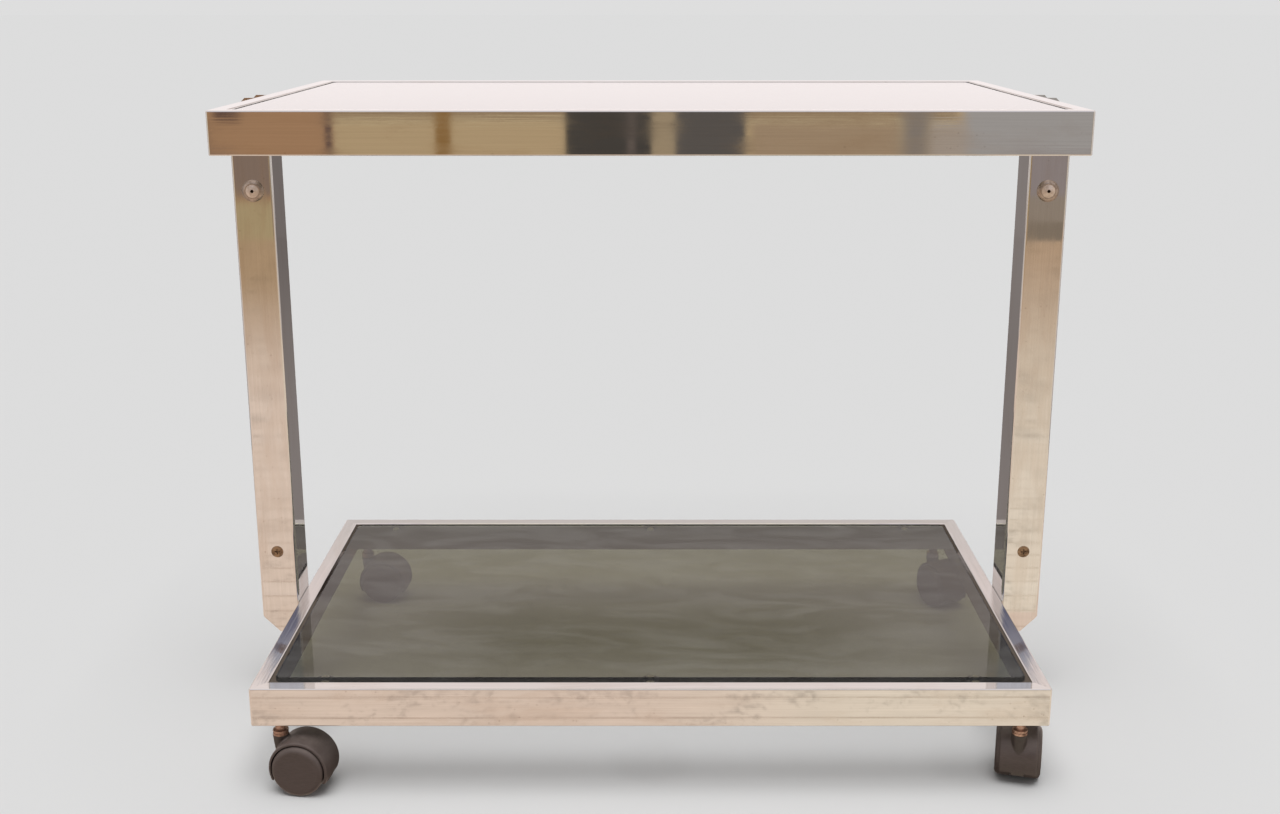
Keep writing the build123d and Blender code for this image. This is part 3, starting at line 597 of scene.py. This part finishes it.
class BARCART_OT_stage(bpy.types.Operator):
    """Sets the floor, cards, light and camera"""

    bl_idname = "barcart.stage"
    bl_label = "Set the stage"

    def execute(self, context):
        settings = context.scene.bar_cart_stage
        context.scene.view_settings.view_transform = "Standard"
        self.lay_floor(settings)
        self.shade_floor(settings)
        self.hang_cards()
        self.light(context.scene, settings)
        self.aim_camera(context.scene, settings)
        return {"FINISHED"}

    def lay_floor(self, settings):
        """A wide matt floor, a little darker in the light that it throws back than to the eye."""
        bpy.ops.object.select_all(action="DESELECT")
        bpy.ops.mesh.primitive_plane_add(size=120)
        floor = bpy.context.object
        floor.name = "studio_floor"
        paint, tree = empty_material("Matt floor paint")
        shown = add(tree, "ShaderNodeMix",
                    {0: straight_ray(tree), 6: (*settings.bounce, 1), 7: (*settings.floor, 1)}, data_type="RGBA")
        lit = add(tree, "ShaderNodeBsdfDiffuse", {"Color": shown.outputs[2]})
        add(tree, "ShaderNodeOutputMaterial", {"Surface": lit.outputs[0]})
        floor.data.materials.append(paint)

    def shade_floor(self, settings):
        """The faint shadow of the panes, deeper under the back half and along the front edge."""
        low, high = Vector(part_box("shelf_left_rail")[0]), Vector(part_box("shelf_right_rail")[1])
        bpy.ops.object.select_all(action="DESELECT")
        bpy.ops.mesh.primitive_plane_add(size=1)
        shade = bpy.context.object
        shade.name = "pane_shade"
        front = low.y
        low.y -= 60 * MM
        shade.scale = (high.x - low.x, high.y - low.y, 1)
        shade.location = (low + high) / 2
        bpy.ops.object.transform_apply()
        for seen_by in ("camera", "diffuse", "glossy", "transmission", "volume_scatter"):
            setattr(shade, f"visible_{seen_by}", False)
        tint, tree = empty_material("Pane shadow")
        place = add(tree, "ShaderNodeSeparateXYZ", {0: add(tree, "ShaderNodeTexCoord").outputs["Object"]})
        depth = add(tree, "ShaderNodeMapRange",
                    {"Value": place.outputs[1], "From Min": front + 95 * MM, "From Max": front + 285 * MM,
                     "To Min": settings.pane_shadow, "To Max": settings.depth_shadow},
                    interpolation_type="SMOOTHSTEP")
        brow = add(tree, "ShaderNodeMapRange",
                   {"Value": place.outputs[1], "From Min": front + 15 * MM, "From Max": front + 85 * MM,
                    "To Min": settings.front_shadow, "To Max": 0.0}, interpolation_type="SMOOTHSTEP")
        fade = add(tree, "ShaderNodeMapRange",
                   {"Value": place.outputs[1], "From Min": front - 40 * MM, "From Max": front + 3 * MM},
                   interpolation_type="SMOOTHSTEP")
        both = add(tree, "ShaderNodeMath", {0: depth.outputs[0], 1: brow.outputs[0]}, operation="ADD")
        lost = add(tree, "ShaderNodeMath", {0: both.outputs[0], 1: fade.outputs[0]}, operation="MULTIPLY")
        left = add(tree, "ShaderNodeMath", {0: 1.0, 1: lost.outputs[0]}, operation="SUBTRACT")
        clear = add(tree, "ShaderNodeBsdfTransparent", {"Color": left.outputs[0]})
        add(tree, "ShaderNodeOutputMaterial", {"Surface": clear.outputs[0]})
        shade.data.materials.append(tint)

    def hang_cards(self):
        """The room as the chrome shows it: boards in front, a pale wall behind, a furnished wall ahead."""
        card("front_floor_card", (-3.0, -1.0, 0.001), (3.0, -0.22, 0.001), "F8E1CF", boards=True)
        card("front_far_card", (-3.0, -2.5, 0.001), (3.0, -1.0, 0.001), "F8E1CF", "C4A684", boards=True)
        card("front_end_card", (-3.0, -3.0, 0.001), (3.0, -2.5, 0.001), "C4A684", boards=True)
        card("front_floor_light", (-0.05, -3.0, 0.0015), (3.0, -0.22, 0.0015), "FFF0DC", "CCAE90",
             soft=0.3, boards=True)
        card("left_floor_card", (-3.0, -0.22, 0.001), (-0.425, 0.30, 0.001), "F8E1CF", boards=True)
        card("right_floor_card", (0.425, -0.22, 0.001), (3.0, 0.30, 0.001), "F8E1CF", boards=True)
        # Painted shadow: the floor under the cart, dark in the cart's shade as the chrome shows it.
        card("under_floor_shadow_card", (-0.425, -0.22, 0.001), (0.425, 0.30, 0.001), "6C625A")
        card("back_floor_card", (-3.0, 0.30, 0.001), (3.0, 3.0, 0.001), "8B8380")
        card("back_floor_shade", (-0.3, 0.30, 0.0015), (2.0, 3.0, 0.0015), "776F6C", "8B8380", soft=0.5)
        card("back_low_card", (-3.0, 3.0, 0.0), (3.0, 3.0, 0.45), "8E8683")
        card("back_low_shade", (-0.3, 2.995, 0.0), (1.0, 2.995, 0.45), "7B7370", soft=0.5)
        card("back_low_left", (-3.0, 2.99, 0.0), (-0.7, 2.99, 0.45), "EADED8", soft=0.2)
        card("back_low_right", (0.7, 2.99, 0.0), (3.0, 2.99, 0.45), "EADED8", soft=0.2)
        card("back_panel", (-3.0, 3.0, 0.45), (3.0, 3.0, 1.05), "FFF6F5")
        card("back_band", (-3.0, 3.0, 1.05), (3.0, 3.0, 1.10), "FFF6F5", "DAD2CE")
        card("back_upper_panel", (-3.0, 3.0, 1.10), (3.0, 3.0, 1.36), "DAD2CE", "F2E4E0")
        card("back_fade", (-3.0, 3.0, 1.36), (3.0, 3.0, 1.76), "F2E4E0", "FFF2EE")
        card("back_fall", (-0.9, 2.99, 1.36), (0.9, 2.99, 1.55), "F2E4E0", "C6B8B3", soft=0.5)
        card("back_rise", (-0.9, 2.99, 1.55), (0.9, 2.99, 1.76), "C6B8B3", "FFF2EE", soft=0.5)
        card("back_top_panel", (-3.0, 3.0, 1.76), (3.0, 3.0, 2.0), "FFF2EE")
        for side, turn in (("left", -1), ("right", 1)):
            card(f"{side}_softbox", (turn * 1.3, -0.9, 0.0), (turn * 1.3, 0.9, 1.6), "E6DAD2", "FFF6F2")
            card(f"{side}_gap", (turn * 1.29, -0.28, 0.0), (turn * 1.29, 0.18, 1.6), "857D79", "A8A09C", soft=0.16)
        card("front_wall", (-3.0, -3.0, 0.12), (3.0, -3.0, 0.80), "C2A882")
        card("front_skirting", (-3.0, -3.0, 0.0), (3.0, -3.0, 0.12), "BAA57E")
        card("front_window", (-3.6, -3.0, 0.80), (3.6, -3.0, 1.48), "7C7B92", soft=1.6)
        card("window_dawn", (-3.6, -3.0, 1.48), (3.6, -3.0, 1.70), "7C7B92", "E4E4EE", soft=1.6)
        card("window_sky", (-3.6, -3.0, 1.70), (3.6, -3.0, 3.5), "E4E4EE", soft=1.6)
        card("window_sill", (-3.0, -2.995, 0.80), (3.0, -2.995, 1.0), "FFF4EE")
        card("dado_strip", (-0.87, -2.995, 0.405), (0.84, -2.995, 0.80), "A0876A")
        card("dado_line", (-0.87, -2.994, 0.397), (0.84, -2.994, 0.405), "D6C29A")
        card("brown_door", (-1.60, -2.99, 0.12), (-0.87, -2.99, 0.80), "B08967", soft=0.003)
        card("door_edge", (-0.895, -2.98, 0.12), (-0.872, -2.98, 0.80), "6B554C", soft=0.004)
        card("door_hinge", (-1.235, -2.98, 0.30), (-1.213, -2.98, 0.80), "5E504C", soft=0.008)
        card("door_shade", (-1.21, -2.98, 0.400), (-1.11, -2.98, 0.80), "6A5248", soft=0.03)
        card("left_box", (-1.50, -2.97, 0.14), (-1.12, -2.97, 0.30), "8E796B", soft=0.02)
        card("brown_post", (-0.592, -2.98, 0.0), (-0.546, -2.98, 0.80), "977347", soft=0.003)
        card("dark_flag_left", (-0.236, -2.98, 0.0), (0.006, -2.98, 0.80), "4D4843", soft=0.006)
        card("dark_gap", (-0.07, -2.975, 0.0), (-0.035, -2.975, 0.80), "6A5F58", soft=0.012)
        card("flag_gap", (0.0, -2.985, 0.0), (0.07, -2.985, 0.80), "AC987B")
        card("dark_flag_right", (0.065, -2.98, 0.0), (0.265, -2.98, 0.80), "625C57", soft=0.008)
        card("wall_right", (0.27, -2.99, 0.0), (0.69, -2.99, 0.397), "AD9478", soft=0.02)
        card("shade_right", (0.66, -2.985, 0.0), (0.80, -2.985, 0.80), "8F847A", soft=0.06)
        card("pale_right", (0.76, -2.98, 0.0), (0.88, -2.98, 0.397), "B4A698", soft=0.02)
        card("grey_wall", (0.84, -2.99, 0.0), (1.9, -2.99, 0.80), "AEA9A5", soft=0.04)
        card("right_box", (1.00, -2.97, 0.14), (1.50, -2.97, 0.31), "9B8F8C", soft=0.02)
        card("right_plinth", (1.00, -2.97, 0.06), (1.50, -2.97, 0.14), "9E8F80", soft=0.02)
        card("right_foot", (1.00, -2.97, 0.0), (1.50, -2.97, 0.06), "8E7F6F", soft=0.02)

    def light(self, scene, settings):
        """A broad light overhead, and an even world that the camera sees in the floor's colour."""
        bpy.ops.object.select_all(action="DESELECT")
        bpy.ops.object.light_add(type="SUN", location=(0, 0, 3), rotation=(settings.lean, 0, 0))
        lamp = bpy.context.object
        lamp.name = "overhead_light"
        lamp.visible_glossy = False
        lamp.data.energy = settings.key
        lamp.data.angle = settings.spread
        world = bpy.data.worlds.new("Studio")
        scene.world = world
        world.use_nodes = True
        tree = world.node_tree
        tree.nodes.clear()
        path = add(tree, "ShaderNodeLightPath")
        even = add(tree, "ShaderNodeBackground", {"Color": (1, 1, 1, 1), "Strength": settings.ambient})
        mirrored = add(tree, "ShaderNodeBackground", {"Color": (*linear("FFF6F4"), 1)})
        seen = add(tree, "ShaderNodeBackground", {"Color": (*settings.floor, 1)})
        straight = add(tree, "ShaderNodeMath",
                       {0: path.outputs["Is Camera Ray"], 1: path.outputs["Is Transmission Ray"]},
                       operation="MAXIMUM")
        lit = add(tree, "ShaderNodeMixShader",
                  {0: path.outputs["Is Glossy Ray"], 1: even.outputs[0], 2: mirrored.outputs[0]})
        behind = add(tree, "ShaderNodeMixShader",
                     {0: straight.outputs[0], 1: lit.outputs[0], 2: seen.outputs[0]})
        add(tree, "ShaderNodeOutputWorld", {"Surface": behind.outputs[0]})

    def aim_camera(self, scene, settings):
        """The photograph's view: focal length, tilt, and a shift to where its optical axis falls."""
        bpy.ops.object.select_all(action="DESELECT")
        bpy.ops.object.camera_add(
            location=(0, -settings.distance, settings.height),
            rotation=(math.pi / 2 - settings.tilt, 0, 0))
        camera = bpy.context.object
        camera.data.sensor_fit = "HORIZONTAL"
        camera.data.lens = FOCAL_PIXELS / PICTURE[0] * camera.data.sensor_width
        camera.data.shift_x = (PICTURE[0] / 2 - AXIS_PIXEL[0]) / PICTURE[0]
        camera.data.shift_y = (AXIS_PIXEL[1] - PICTURE[1] / 2) / PICTURE[0]
        scene.camera = camera


OPERATORS = (
    BARCART_OT_frames,
    BARCART_OT_legs,
    BARCART_OT_panes,
    BARCART_OT_lugs,
    BARCART_OT_leg_screws,
    BARCART_OT_leg_inserts,
    BARCART_OT_stems,
    BARCART_OT_casters,
    BARCART_OT_stage,
)


class BARCART_PT_sidebar(bpy.types.Panel):
    """Lists the steps and their settings"""

    bl_idname = "BARCART_PT_sidebar"
    bl_label = "Bar Cart"
    bl_space_type = "VIEW_3D"
    bl_region_type = "UI"
    bl_category = "Bar Cart"

    def draw(self, context):
        for step in OPERATORS:
            self.layout.operator(step.bl_idname)
        for group in (context.scene.bar_cart_finish, context.scene.bar_cart_thread, context.scene.bar_cart_stage):
            box = self.layout.box()
            for name in group.__annotations__:
                box.prop(group, name)


GROUPS = {
    "bar_cart_finish": BarCartFinish,
    "bar_cart_thread": BarCartThread,
    "bar_cart_stage": BarCartStage,
}


def register():
    for made in (*GROUPS.values(), *OPERATORS, BARCART_PT_sidebar):
        bpy.utils.register_class(made)
    for name, group in GROUPS.items():
        setattr(bpy.types.Scene, name, bpy.props.PointerProperty(type=group))


def unregister():
    for name in GROUPS:
        delattr(bpy.types.Scene, name)
    for made in (BARCART_PT_sidebar, *reversed(OPERATORS), *GROUPS.values()):
        bpy.utils.unregister_class(made)


def main():
    register()
    bpy.ops.barcart.frames()
    bpy.ops.barcart.legs()
    bpy.ops.barcart.panes()
    bpy.ops.barcart.lugs()
    bpy.ops.barcart.leg_screws()
    bpy.ops.barcart.leg_inserts()
    bpy.ops.barcart.stems()
    bpy.ops.barcart.casters()
    bpy.ops.barcart.stage()


if __name__ == "__main__":
    main()
